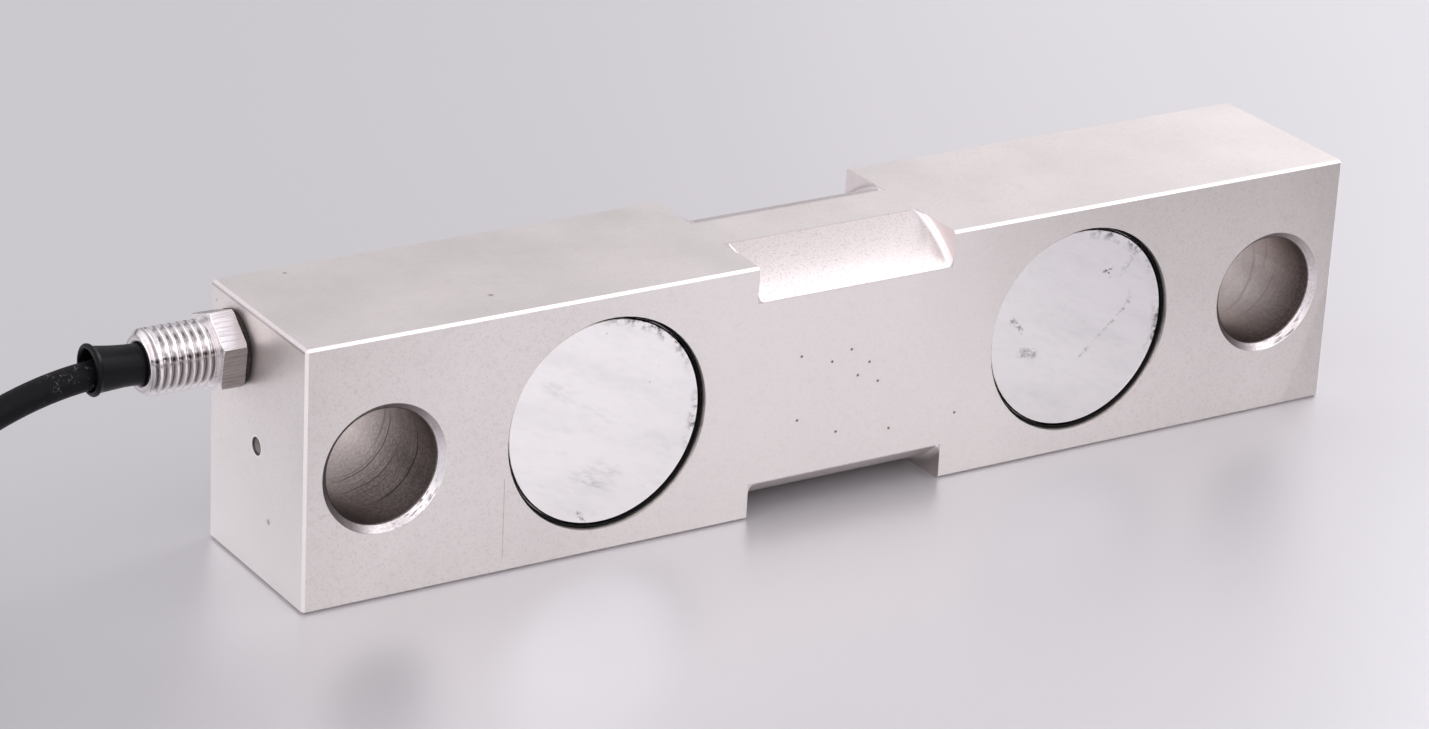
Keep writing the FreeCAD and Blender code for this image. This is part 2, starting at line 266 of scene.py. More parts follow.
cable = {
    "radius": 0.0026,
    "length": 5.0,
    "exit": (-0.1388, 0.0087, 0.0394),
    "lintEnd": -0.1450,
    "route": [
        (-0.1213, 0.0087, 0.03995),
        (-0.1328, 0.0087, 0.03995),
        (-0.1448, 0.0087, 0.0389),
        (-0.1568, 0.0087, 0.03515),
        (-0.1701, 0.00405, 0.0312),
        (-0.1886, -0.0126, 0.0289),
        (-0.2008, -0.0173, 0.0286),
        (-0.2120, -0.0173, 0.0286),
    ],
}
hank = {
    "nearX": -0.2120,
    "farX": -0.2845,
    "middleY": 0.0087,
    "foldRadii": (0.0260, 0.0208, 0.0156),
    "rows": 6,
    "rowHeight": 0.0052,
    "bulge": 0.0014,  # how far a turn swings out where it changes its row
    "tieX": -0.2440,
    "tieReach": 0.0040,
    "middleZ": 0.0156,
    "squeezeY": 0.78,
    "squeezeZ": 0.91,
    "tailX": -0.1860,
}


def hankLap(lap):
    # Fold radius and height of one lap, rows filled from the top, alternately inwards and outwards
    row, column = divmod(lap, len(hank["foldRadii"]))
    radii = hank["foldRadii"] if row % 2 == 0 else hank["foldRadii"][::-1]
    height = cable["radius"] + hank["rowHeight"] * (hank["rows"] - 1 - row)
    return radii[column], height


def foldPoints(centreX, startAngle, start, end):
    # Half a turn about a fold's centre, from one (radius, height) to another
    points = []
    for step in range(6):
        turn = 15 + 30 * step
        share = turn / 180
        angle = math.radians(startAngle - turn)
        radius = start[0] + (end[0] - start[0]) * share
        if start[0] == end[0] and start[1] != end[1]:
            outward = 1 if start[0] > hank["foldRadii"][1] else -1
            radius += outward * hank["bulge"] * math.sin(math.pi * share) ** 3
        radius /= math.cos(math.radians(15))
        height = start[1] + (end[1] - start[1]) * share
        across = hank["middleY"] + radius * math.sin(angle)
        points.append((centreX + radius * math.cos(angle), across, height))
    return points


def hankPoints():
    points = []
    laps = len(hank["foldRadii"]) * hank["rows"]
    sideY = hank["middleY"] + hank["foldRadii"][1]
    for lap in range(laps):
        here = hankLap(lap)
        frontY, backY = hank["middleY"] - here[0], hank["middleY"] + here[0]
        points.append((hank["farX"] + 0.004, frontY, here[1]))
        points += foldPoints(hank["farX"], -90, here, here)
        points.append((hank["farX"] + 0.004, backY, here[1]))
        points.append((hank["tieX"] - 3 * hank["tieReach"], backY, here[1]))
        tightY = sideY + (backY - sideY) * hank["squeezeY"]
        tightZ = hank["middleZ"] + (here[1] - hank["middleZ"]) * hank["squeezeZ"]
        points.append((hank["tieX"] - hank["tieReach"], tightY, tightZ))
        points.append((hank["tieX"] + hank["tieReach"], tightY, tightZ))
        points.append((hank["tieX"] + 3 * hank["tieReach"], backY, here[1]))
        if lap == laps - 1:
            points.append((hank["tailX"], backY, here[1]))
            break
        points.append((hank["nearX"] - 0.004, backY, here[1]))
        points += foldPoints(hank["nearX"], 90, here, hankLap(lap + 1))
        points.append((hank["nearX"] - 0.004, hank["middleY"] - hankLap(lap + 1)[0], hankLap(lap + 1)[1]))
    return points


def makeCable():
    line = bpy.data.curves.new("cable", "CURVE")
    line.dimensions = "3D"
    spline = line.splines.new("NURBS")
    points = cable["route"] + hankPoints()
    spline.points.add(len(points) - 1)
    for point, place in zip(spline.points, points):
        point.co = (*place, 1.0)
    spline.order_u = 3
    spline.use_endpoint_u = True
    spline.resolution_u = 6
    line.bevel_depth = cable["radius"]
    line.bevel_resolution = 5
    line.use_fill_caps = True
    return addObject("cable", line)


def cableRubber():
    material, tree, surface, place = newMaterial("cableRubber", Specular_IOR_Level=0.14)
    fine = noise(tree, place, 1800, 3)
    broad = noise(tree, place, 120, 3)
    # thin hairs in patches, only next to the sleeve
    hairs = remap(tree, gap(tree, noise(tree, place, 950, 2), 0.5), 0.004, 0.022, 0.40, 0.0)
    patches = remap(tree, noise(tree, place, 700, 2), 0.54, 0.60)
    nearSleeve = remap(tree, axes(tree, place)[0], cable["lintEnd"] - 0.004, cable["lintEnd"])
    lint = product(tree, hairs, patches, nearSleeve)
    base = mix(tree, broad, (8, 8, 10), (16, 15, 18))
    base = mix(tree, lint, base, (150, 146, 150))
    coat(tree, surface, base, remap(tree, fine, 0.3, 0.7, 0.40, 0.58), fine, 0.25, 0.00008)
    return material


cablePiece = dress(makeCable(), cableRubber())
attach(cablePiece, "root")
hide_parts("cable_tube", "cable_hank")
print("cable made")


# Cable fitting: hexagon, threaded nose and stub

fitting = {
    "beamX": -0.1110,
    "sealThickness": 0.0010,
    "y": 0.0087,
    "z": 0.03995,
    "halfFlats": 0.0067,
    "cornerRadius": 0.00774,
    "hexThickness": 0.0046,
    "hexTurn": 8.9,
    "chamferStart": 0.0073,
    "chamferLean": math.tan(math.radians(30)),
    "boreRadius": 0.00373,
    "stubRadius": 0.0050,
    "stubLength": 0.0074,
    "stubBore": 0.0020,
    "columns": 144,
}
thread = {
    "Major Radius": 0.00600,
    "Minor Radius": 0.00508,
    "Pitch": 0.00150,
    "Length": 0.0127,
    "Undercut": 0.0003,
    "Undercut Radius": 0.00525,
    "Mouth Radius": 0.00500,
    "Land Start": 0.00115,
    "Land End": 0.00215,
    "Bore Radius": 0.00373,
    "Rows": 187,
    "Columns": 97,
}
hexFace = fitting["beamX"] - fitting["sealThickness"] - fitting["hexThickness"]


def aroundCable(x, radius, angle):
    return (x, fitting["y"] - radius * math.sin(angle), fitting["z"] + radius * math.cos(angle))


def hexRadius(angle):
    fromFlat = (math.degrees(angle) - fitting["hexTurn"]) % 60 - 30
    return min(fitting["halfFlats"] / math.cos(math.radians(fromFlat)), fitting["cornerRadius"])


def makeHexagon():
    # Rings from the seal's side outwards, then back through the bore and round the stub
    innerX = fitting["beamX"] - fitting["sealThickness"]
    stubX = fitting["beamX"] + fitting["stubLength"]
    lean, chamfer = fitting["chamferLean"], fitting["chamferStart"]
    stub, stubBore, bore = fitting["stubRadius"], fitting["stubBore"], fitting["boreRadius"]
    first = math.radians(fitting["hexTurn"])
    angles = [first + 2 * math.pi * i / fitting["columns"] for i in range(fitting["columns"])]

    def ring(place):
        return [aroundCable(*place(angle), angle) for angle in angles]

    rings = [
        ring(lambda a: (innerX, stub)),
        ring(lambda a: (innerX, min(chamfer, hexRadius(a)) - 0.0001)),
        ring(lambda a: (innerX - max(0, hexRadius(a) - chamfer) * lean, hexRadius(a))),
        ring(lambda a: (hexFace + max(0, hexRadius(a) - chamfer) * lean, hexRadius(a))),
        ring(lambda a: (hexFace, min(chamfer, hexRadius(a)) - 0.0001)),
        ring(lambda a: (hexFace, bore)),
        ring(lambda a: (hexFace + 0.001, bore)),
        ring(lambda a: (hexFace + 0.001, stubBore)),
        ring(lambda a: (stubX, stubBore)),
        ring(lambda a: (stubX, stub)),
    ]
    points, faces = ringLoft(rings, closed=True)
    piece = meshObject("fitting_hexagon", points, faces)
    soften = piece.modifiers.new("soften", "BEVEL")
    soften.width = 0.00008
    soften.segments = 2
    soften.limit_method = "ANGLE"
    soften.angle_limit = math.radians(20)
    return piece


def growMesh(name, tree, values):
    # Runs a geometry tree with these inputs and keeps its result as a plain mesh
    piece = addObject(name, bpy.data.meshes.new(name))
    modifier = piece.modifiers.new("grow", "NODES")
    modifier.node_group = tree
    for item in tree.interface.items_tree:
        if item.item_type == "SOCKET" and item.in_out == "INPUT" and item.name in values:
            modifier[item.identifier] = values[item.name]
    made = bpy.data.meshes.new_from_object(piece.evaluated_get(bpy.context.evaluated_depsgraph_get()))
    piece.modifiers.remove(modifier)
    piece.data = made
    return piece


def newTree(name, floats=(), integers=()):
    tree = bpy.data.node_groups.new(name, "GeometryNodeTree")
    for title in floats:
        tree.interface.new_socket(name=title, in_out="INPUT", socket_type="NodeSocketFloat")
    for title in integers:
        tree.interface.new_socket(name=title, in_out="INPUT", socket_type="NodeSocketInt")
    tree.interface.new_socket(name="Geometry", in_out="OUTPUT", socket_type="NodeSocketGeometry")
    return tree, tree.nodes.new("NodeGroupInput").outputs, tree.nodes.new("NodeGroupOutput").inputs


def finishTree(tree, geometry, material, result):
    # Every tree ends in real geometry with its material on
    real = addNode(tree, "GeometryNodeRealizeInstances", Geometry=geometry).outputs[0]
    painted = addNode(tree, "GeometryNodeSetMaterial", Geometry=real, Material=material).outputs[0]
    tree.links.new(painted, result[0])


def threadTree(material):
    # A grid rolled up round the nose: outside with the helical ridge, inside with the plain bore
    floats = [name for name in thread if name not in ("Rows", "Columns")]
    tree, given, result = newTree("noseThread", floats, ["Rows", "Columns"])
    grid = addNode(tree, "GeometryNodeMeshGrid", Size_X=1.0, Size_Y=1.0,
                   Vertices_X=given["Columns"], Vertices_Y=given["Rows"])
    place = axes(tree, tree.nodes.new("GeometryNodeInputPosition").outputs[0])
    around = total(tree, place[0], 0.5)
    lastRow = minus(tree, given["Rows"], 1.0)
    row = calc(tree, "ROUND", product(tree, total(tree, place[1], 0.5), lastRow))
    lastOuter = minus(tree, lastRow, 3.0)
    onOutside = isBelow(tree, row, total(tree, lastOuter, 0.5))
    mouthBore = calc(tree, "COMPARE", row, total(tree, lastOuter, 1.0), 0.1)
    rootBore = calc(tree, "COMPARE", row, total(tree, lastOuter, 2.0), 0.1)
    alongOutside = product(tree, calc(tree, "DIVIDE", row, lastOuter), given["Length"])
    along = total(tree, product(tree, alongOutside, onOutside),
                 product(tree, mouthBore, given["Length"]))
    turns = minus(tree, calc(tree, "DIVIDE", along, given["Pitch"]), around)
    saw = absolute(tree, scaled(tree, calc(tree, "FRACT", turns), 2.0, -1.0))
    depth = minus(tree, given["Major Radius"], given["Minor Radius"])
    fromEnd = minus(tree, given["Length"], along)
    landStart = remap(tree, fromEnd, given["Land Start"], total(tree, given["Land Start"], 0.0003))
    landEnd = remap(tree, fromEnd, minus(tree, given["Land End"], 0.0003), given["Land End"], 1.0, 0.0)
    land = product(tree, landStart, landEnd)
    ridge = highest(tree, remap(tree, saw, 0.16, 0.80), land)
    helix = scaled(tree, ridge, depth, given["Minor Radius"])
    fromGroove = highest(tree, minus(tree, along, given["Undercut"]), 0.0)
    grooveLimit = total(tree, given["Undercut Radius"], fromGroove)
    mouthLimit = total(tree, given["Mouth Radius"], fromEnd)
    outer = calc(tree, "MINIMUM", calc(tree, "MINIMUM", helix, grooveLimit), mouthLimit)
    onBore = total(tree, mouthBore, rootBore)
    radius = scaled(tree, onBore, minus(tree, given["Bore Radius"], outer), outer)
    angle = product(tree, around, 2 * math.pi)
    x = minus(tree, hexFace, along)
    y = minus(tree, fitting["y"], product(tree, radius, calc(tree, "SINE", angle)))
    z = total(tree, fitting["z"], product(tree, radius, calc(tree, "COSINE", angle)))
    rolled = addNode(tree, "GeometryNodeSetPosition", Geometry=grid.outputs[0],
                     Position=combine(tree, x, y, z))
    sealed = addNode(tree, "GeometryNodeMergeByDistance", Geometry=rolled.outputs[0], Distance=1e-7)
    smooth = addNode(tree, "GeometryNodeSetShadeSmooth", Geometry=sealed.outputs[0])
    finishTree(tree, smooth.outputs[0], material, result)
    return tree


def roundCable(tree, place):
    # Place along the cable's axis, distance from it, and degrees round it from the top towards the front
    along, across, height = axes(tree, place)
    side = minus(tree, fitting["y"], across)
    rise = minus(tree, height, fitting["z"])
    reach = distance(tree, side, rise)
    return along, reach, degreesRound(tree, side, rise)


def faceDirection(tree):
    return axes(tree, addNode(tree, "ShaderNodeNewGeometry").outputs["True Normal"])


def threadSteel():
    # Bright crests, with painted shade on the roots in bands along the length, as a polished round shows
    # them, and a painted dark reflection line
    material, tree, surface, place = newMaterial("threadSteel", Metallic=1.0)
    along, reach, angle = roundCable(tree, place)
    fine = noise(tree, place, 1500, 3)
    turn = scaled(tree, minus(tree, noise(tree, place, 900, 2), 0.5), 16.0, angle)
    root = product(tree, remap(tree, reach, 0.00535, 0.00585, 1.0, 0.0),
                   remap(tree, along, hexFace - 0.0008, hexFace - 0.0005, 1.0, 0.35))
    advance = calc(tree, "DIVIDE", minus(tree, hexFace, along), thread["Pitch"])
    across = calc(tree, "FRACT", minus(tree, advance, calc(tree, "DIVIDE", angle, 360.0)))
    # Painted shade in bands round the axis on the roots, and a painted dark reflection line on crests and
    # roots
    slit = scaled(tree, window(tree, across, 0.30, 0.46, 0.06), 0.50, 0.30)
    upperPaintedShade = product(tree, window(tree, turn, 13, 31, 7), slit)
    between = product(tree, window(tree, turn, 30, 64, 4), 0.30)
    lowerShade = scaled(tree, window(tree, across, 0.48, 0.66, 0.06), 0.36, 0.48)
    lowerPaintedShade = product(tree, window(tree, turn, 74, 132, 7), lowerShade)
    line = window(tree, turn, 63, 71, 4)
    paintedRootShade = product(tree, root, highest(tree, upperPaintedShade, between, lowerPaintedShade, line))
    base = mix(tree, fine, (232, 227, 227), (252, 249, 249))
    # The painted shade and the painted reflection line darken the metal here
    base = mix(tree, highest(tree, paintedRootShade, product(tree, line, 0.55)), base, (74, 64, 62))
    mouth = isBelow(tree, along, hexFace - thread["Length"] + 0.0002)
    rings = noise(tree, combine(tree, reach, 0.0, 0.0), 2600, 2)
    face = mix(tree, remap(tree, rings, 0.4, 0.6), (176, 169, 170), (238, 234, 235))
    base = mix(tree, mouth, base, face)
    coat(tree, surface, base, remap(tree, fine, 0.3, 0.7, 0.12, 0.22), fine, 0.25, 0.00003)
    return material


def hexagonSteel():
    # Flats brushed along the axis: a bright upper one, with painted shade greying the flats above and below
    # it and every flat near the seal
    material, tree, surface, place = newMaterial("hexagonSteel", Metallic=1.0)
    along, reach, angle = roundCable(tree, place)
    across = axes(tree, place)
    brushed = noise(tree, combine(tree, product(tree, along, 0.05), across[1], across[2]), 3200, 2, 0.6)
    facing = absolute(tree, faceDirection(tree)[0])
    onFlat = isBelow(tree, facing, 0.3)
    first = fitting["hexTurn"]
    # Painted shade on the flats below and above the bright one, and towards the seal
    lowerPaintedShade = product(tree, window(tree, angle, first + 60, first + 120, 0.5), onFlat)
    above = product(tree, window(tree, angle, first - 60, first, 0.5), onFlat)
    paintedShadeNearSeal = product(tree, remap(tree, along, hexFace, hexFace + 0.0041), onFlat, 0.85)
    base = mix(tree, remap(tree, brushed, 0.32, 0.68), (216, 209, 210), (255, 253, 253))
    base = mix(tree, paintedShadeNearSeal, base, (196, 188, 189))
    paintedFlatShade = mix(tree, remap(tree, brushed, 0.32, 0.68), (150, 142, 141), (176, 168, 167))
    base = mix(tree, highest(tree, lowerPaintedShade, above), base, paintedFlatShade)
    rings = noise(tree, combine(tree, reach, 0.0, 0.0), 1800, 2)
    turned = mix(tree, remap(tree, rings, 0.40, 0.62), (255, 253, 253), (236, 231, 231))
    base = mix(tree, isAbove(tree, facing, 0.6), base, turned)
    rough = remap(tree, brushed, 0.3, 0.7, 0.20, 0.34)
    coat(tree, surface, base, rough, product(tree, brushed, onFlat), 0.4, 0.00004)
    return material


hexPiece = dress(makeHexagon(), hexagonSteel())
threadPiece = growMesh("fitting_thread", threadTree(threadSteel()), thread)
for piece in (hexPiece, threadPiece):
    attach(piece, "root")
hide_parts("cable_fitting")
print("fitting made")


# Rubber sleeve round the cable, and the seal under the hexagon

sleeve = {
    "noseX": hexFace - thread["Length"],
    "lift": 0.052,  # how far it leans up from the cable's axis, per length from the nose
    "unevenness": 0.012,
    "columns": 96,
    # distance from the nose's end and radius, outside first and back through the bore, in millimetres
    "outline": [
        (-9.4, 2.72), (-9.4, 3.58), (-9.2, 3.64), (-0.1, 3.64), (0.10, 3.66), (0.60, 3.63), (2.0, 3.63),
        (3.5, 3.69), (5.2, 3.83), (6.6, 3.97), (7.60, 4.07), (8.10, 4.13), (8.30, 4.20), (8.42, 4.36),
        (8.55, 4.52), (8.72, 4.62), (8.92, 4.66), (9.12, 4.62), (9.30, 4.48), (9.42, 4.28), (9.46, 4.08),
        (9.40, 3.90), (9.20, 3.76), (8.5, 3.56), (7.0, 3.24), (5.0, 2.98), (2.5, 2.78), (0.0, 2.72),
    ],
}
seal = {
    "lift": 0.0,
    "unevenness": 0.02,
    "columns": 96,
    # distance from the beam's end and radius, in millimetres
    "outline": [
        (0.0, 5.06), (0.0, 6.50), (0.08, 6.70), (0.25, 6.79), (0.50, 6.80), (0.75, 6.79), (0.92, 6.70),
        (1.00, 6.50), (1.00, 5.06),
    ],
}


def revolveRound(name, piece, startX):
    # A closed outline turned about the cable's axis, with the slight unevenness of soft pieces
    rings = []
    for away, radius in piece["outline"]:
        ring = []
        for i in range(piece["columns"]):
            angle = 2 * math.pi * i / piece["columns"]
            wave = math.sin(3 * angle + 1.1 * away) + 0.6 * math.sin(5 * angle - 0.7 * away)
            x, y, z = aroundCable(startX - away / 1000, (radius + piece["unevenness"] * wave) / 1000, angle)
            ring.append((x, y, z + piece["lift"] * max(0, away) / 1000))
        rings.append(ring)
    points, faces = ringLoft(rings, closed=True)
    return meshObject(name, points, faces, creaseAngle=50)


def moulded(name, dark, light, roughLow, roughHigh, shine=0.3, grit=0.0):
    material, tree, surface, place = newMaterial(name, Specular_IOR_Level=shine)
    fine = noise(tree, place, 1400, 3)
    broad = noise(tree, place, 180, 3)
    base = mix(tree, broad, dark, light)
    if grit:
        specks = remap(tree, noise(tree, place, 2600, 2, 0.7), 0.62, 0.70)
        base = mix(tree, product(tree, specks, grit), base, (150, 140, 136))
    coat(tree, surface, base, remap(tree, fine, 0.3, 0.7, roughLow, roughHigh), fine, 0.3, 0.0001)
    return material


sleevePiece = revolveRound("rubber_sleeve", sleeve, sleeve["noseX"])
dress(sleevePiece, moulded("sleeveRubber", (9, 9, 11), (17, 16, 20), 0.28, 0.44, shine=0.15))
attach(sleevePiece, "root")
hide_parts("cable_sleeve")

sealPiece = revolveRound("rubber_seal", seal, fitting["beamX"])
dress(sealPiece, moulded("sealRubber", (30, 25, 24), (60, 52, 49), 0.55, 0.8, 0.2, grit=0.5))
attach(sealPiece, "root")
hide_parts("fitting_seal")
print("sleeve and seal made")


# Sealant beads round the four covers

bead = {
    "Ring Radius": 0.01985,
    "Half Width": 0.00025,
    "Half Height": 0.00072,
    "Level": 0.01625,
    "Unevenness": 0.00014,
    "Pocket From Middle": 0.0512,
    "Axis Height": 0.0246,
    "Around": 220,
}


def beadTree(material):
    # One ring swept round a cover, pushed about by a fixed noise, and placed at each pocket
    tree, given, result = newTree("sealantBeads", [name for name in bead if name != "Around"], ["Around"])
    ring = addNode(tree, "GeometryNodeCurvePrimitiveCircle", Resolution=given["Around"],
                   Radius=given["Ring Radius"])
    section = addNode(tree, "GeometryNodeCurvePrimitiveCircle", Resolution=14, Radius=1.0)
    sized = addNode(tree, "GeometryNodeTransform", Geometry=section.outputs[0],
                    Scale=combine(tree, given["Half Width"], given["Half Height"], 1.0))
    swept = addNode(tree, "GeometryNodeCurveToMesh", Curve=ring.outputs[0], Profile_Curve=sized.outputs[0])
    upright = addNode(tree, "GeometryNodeTransform", Geometry=swept.outputs[0],
                      Rotation=(math.pi / 2, 0.0, 0.0))
    joined = tree.nodes.new("GeometryNodeJoinGeometry")
    for side in (-1.0, 1.0):
        for face in (-1.0, 1.0):
            place = combine(tree, product(tree, given["Pocket From Middle"], side),
                            product(tree, given["Level"], face), given["Axis Height"])
            moved = addNode(tree, "GeometryNodeTransform", Geometry=upright.outputs[0], Translation=place)
            tree.links.new(moved.outputs[0], joined.inputs[0])
    where = tree.nodes.new("GeometryNodeInputPosition").outputs[0]
    lumps = minus(tree, noise(tree, where, 420, 3, 0.6), 0.5)
    push = product(tree, lumps, product(tree, given["Unevenness"], 2.0))
    normal = tree.nodes.new("GeometryNodeInputNormal").outputs[0]
    offset = addNode(tree, "ShaderNodeVectorMath", {"operation": "SCALE"}, Vector=normal, Scale=push)
    uneven = addNode(tree, "GeometryNodeSetPosition", Geometry=joined.outputs[0], Offset=offset.outputs[0])
    smooth = addNode(tree, "GeometryNodeSetShadeSmooth", Geometry=uneven.outputs[0])
    finishTree(tree, smooth.outputs[0], material, result)
    return tree


sealantBlack = moulded("sealantBlack", (5, 4, 5), (13, 11, 12), 0.3, 0.55, shine=0.10)
beadPiece = growMesh("sealant_beads", beadTree(sealantBlack), bead)
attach(beadPiece, "root")
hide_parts(*[name for name in nodes if name.startswith("sealant_")])
print("sealant made")


# Plated steel of the beam

beam = {
    "axisHeight": 0.0246,
    "halfLength": 0.1110,
    "halfWidth": 0.0180,
    "edgeWidth": 0.0007,
    "holeFromMiddle": 0.0955,
    "holeRadius": 0.0109,
    "holeMouthRadius": 0.0121,
    "neckHalfLength": 0.02105,
    "neckRadius": 0.02515,
    "shoulderX": 0.0206,
    "centreRadius": 0.0017,
    "centreDepth": 0.0040,
    # marks of the boring tool in the holes: side, depth at either end in millimetres, from and to in degrees
    # about the axis, half width in millimetres, strength
    "arcs": [
        (-1, -9.6, -9.9, -72, 18, 0.17, 0.95), (-1, 1.6, 0.1, -88, 10, 0.15, 0.85),
        (-1, 2.3, 1.3, -78, -18, 0.11, 0.55), (-1, -2.8, -3.6, -88, -26, 0.15, 0.80),
        (-1, -1.2, -1.7, -80, -34, 0.10, 0.50), (-1, -5.0, -5.3, -88, -42, 0.12, 0.55),
        (-1, -7.2, -7.5, -35, 18, 0.10, 0.35), (-1, 3.4, 3.0, -44, -12, 0.10, 0.35),
        (-1, 2.9, 1.9, -26, 12, 0.30, 0.45), (1, -2.3, 0.0, -68, 4, 0.30, 0.22),
        (1, -3.4, -4.2, -6, 20, 0.26, 0.20), (1, -6.2, -6.6, -70, -10, 0.20, 0.22),
    ],
    # x and z of the small pits in the front face, in millimetres
    "pits": [
        (-11.0, 30.3), (-4.3, 28.1), (-0.2, 29.8), (3.9, 26.6), (1.5, 24.4), (6.0, 22.5),
        (-11.2, 17.8), (-2.6, 14.0), (9.1, 12.5), (23.7, 12.9),
    ],
    "pitRadius": 0.00034,
    # places of single stains: (x, y, z, radius) in millimetres
    "stains": [
        (-111.0, -4.9, 12.2, 0.75), (-111.0, 15.7, 46.0, 0.3), (-98.3, 14.9, 49.2, 0.5),
        (-70.7, -9.2, 49.2, 0.7), (-14.0, -18.0, 48.6, 0.4),
    ],
    "scribeX": -0.0718,
    "scribeLow": 0.0028,
    "scribeHigh": 0.0181,
}


def spot(tree, place, centre, radius, soft=0.45):
    apart = addNode(tree, "ShaderNodeVectorMath", {"operation": "DISTANCE"})
    plug(tree, apart.inputs[0], place)
    plug(tree, apart.inputs[1], centre)
    return remap(tree, apart.outputs["Value"], radius * soft, radius, 1.0, 0.0)


def beamPlaces(tree, place):
    # Where a point of the beam lies, each kind of place as 0 or 1, and the grains that its finishes share
    at = SimpleNamespace(place=place)
    at.x, at.y, at.z = axes(tree, place)
    at.rise = minus(tree, at.z, beam["axisHeight"])
    at.sizeX, sizeY, sizeZ = (absolute(tree, v) for v in (at.x, at.y, at.rise))
    at.right = isAbove(tree, at.x, 0.0)
    # hole walls and mouths
    fromHole = minus(tree, at.x, product(tree, calc(tree, "SIGN", at.x), beam["holeFromMiddle"]))
    at.holeReach = distance(tree, fromHole, at.rise)
    at.inHole = isBelow(tree, at.holeReach, beam["holeRadius"])
    at.inMouth = minus(tree, isBelow(tree, at.holeReach, beam["holeMouthRadius"]), at.inHole)
    at.turn = calc(tree, "ARCTAN2", at.rise, fromHole)
    at.degrees = product(tree, at.turn, 180 / math.pi)
    # neck, turning centres, faces and broken edges
    at.reach = distance(tree, at.y, at.rise)
    at.onNeck = product(tree, isAbove(tree, at.reach, beam["neckRadius"]),
                        isBelow(tree, at.sizeX, beam["neckHalfLength"]))
    at.inCentre = product(tree, isBelow(tree, at.reach, beam["centreRadius"]),
                          isAbove(tree, at.sizeX, beam["halfLength"] - beam["centreDepth"]))
    at.onSide = isAbove(tree, sizeY, beam["halfWidth"] - 0.0001)
    at.onFront = isBelow(tree, at.y, 0.0001 - beam["halfWidth"])
    at.onEnd = isAbove(tree, at.sizeX, beam["halfLength"] - 0.0001)
    facing = [absolute(tree, part) for part in faceDirection(tree)]
    nearLong = product(tree, isAbove(tree, sizeY, beam["halfWidth"] - beam["edgeWidth"]),
                       isAbove(tree, sizeZ, beam["axisHeight"] - beam["edgeWidth"]))
    nearEdge = highest(tree, isAbove(tree, at.sizeX, beam["halfLength"] - beam["edgeWidth"]), nearLong)
    at.onEdge = product(tree, isAbove(tree, total(tree, *facing), 1.25), nearEdge)
    outside = minus(tree, 1.0, at.inCentre)
    at.upright = product(tree, at.onEdge, isBelow(tree, facing[2], 0.3), outside)
    at.fine = noise(tree, place, 2300, 3, 0.65)
    at.middle = noise(tree, place, 520, 3)
    at.broad = noise(tree, place, 45, 3)
    at.grit = noise(tree, place, 1900, 3, 0.65)
    at.turned = remap(tree, noise(tree, place, 2700, 3, 0.7), 0.50, 0.72)
    return at


def plainTone(tree, at):
    # Plain grain with uneven tone, and painted light and shade over the long sides and the ends
    base = mix(tree, remap(tree, at.broad, 0.3, 0.7), (236, 231, 227), (243, 238, 234))
    base = mix(tree, remap(tree, at.middle, 0.56, 0.78, 0.0, 0.22), base, (214, 207, 202))
    base = mix(tree, remap(tree, at.fine, 0.52, 0.75, 0.0, 0.40), base, (198, 190, 186))
    # Painted light towards the middle of the long sides
    paintedMiddleLight = product(tree, remap(tree, at.sizeX, 0.028, 0.062, 0.5, 0.0), at.onSide)
    base = mix(tree, paintedMiddleLight, base, (255, 250, 246))
    # Painted shade towards both ends of the long sides, stronger higher up, and a painted shade wedge at the
    # lower right corner
    upRight = remap(tree, scaled(tree, at.rise, 3.76, at.x), -0.012, 0.333)
    paintedShadeRight = total(tree, product(tree, upRight, remap(tree, at.x, 0.010, 0.035)),
                     remap(tree, at.x, 0.094, 0.110, 0.0, 0.18))
    paintedShadeLeft = remap(tree, scaled(tree, at.rise, -0.5, at.x), -0.088, -0.120, 0.0, 0.35)
    slant = scaled(tree, at.z, -0.38, at.x)
    paintedWedgeShade = product(tree, remap(tree, slant, 0.1008, 0.1022), at.onSide, 0.2)
    for shade in (product(tree, highest(tree, paintedShadeRight, paintedShadeLeft), at.onSide), paintedWedgeShade):
        base = mix(tree, shade, base, (204, 201, 200), "MULTIPLY")
    # Painted light low on the ends
    paintedLowEndLight = product(tree, remap(tree, at.rise, -0.020, 0.010, 0.8, 0.0), at.onEnd)
    return mix(tree, paintedLowEndLight, base, (255, 252, 250))


def neckTone(tree, at, base):
    # The turned neck, with its right shoulder and a painted highlight line in the fillet before it
    base = mix(tree, at.onNeck, base, mix(tree, at.turned, (231, 224, 222), (194, 185, 182)))
    shoulder = product(tree, at.onNeck, isAbove(tree, at.x, beam["shoulderX"]))
    base = mix(tree, shoulder, base, (226, 218, 216))
    filletHighlight = window(tree, at.x, beam["shoulderX"] - 0.0006, beam["shoulderX"] - 0.0001, 0.0002)
    return mix(tree, product(tree, at.onNeck, filletHighlight), base, (255, 254, 254))


def boringArcs(tree, at):
    # Arcs left by the boring tool, wandering a little along the hole
    wander = noise(tree, combine(tree, product(tree, at.turn, 0.008), 0.0, product(tree, at.y, 0.3)), 160, 2)
    depth = scaled(tree, minus(tree, wander, 0.5), 0.0014, at.y)
    hole = {1: at.right, -1: minus(tree, 1.0, at.right)}
    arcs = []
    for side, nearer, farther, start, end, halfWidth, strength in beam["arcs"]:
        level = remap(tree, at.degrees, start, end, nearer / 1000, farther / 1000)
        line = remap(tree, gap(tree, depth, level), 0.4 * halfWidth / 1000, 1.6 * halfWidth / 1000, 1.0, 0.0)
        arcs.append(product(tree, line, window(tree, at.degrees, start, end, 12), hole[side], strength))
    return product(tree, highest(tree, *arcs), remap(tree, at.grit, 0.30, 0.55, 0.45, 1.0))


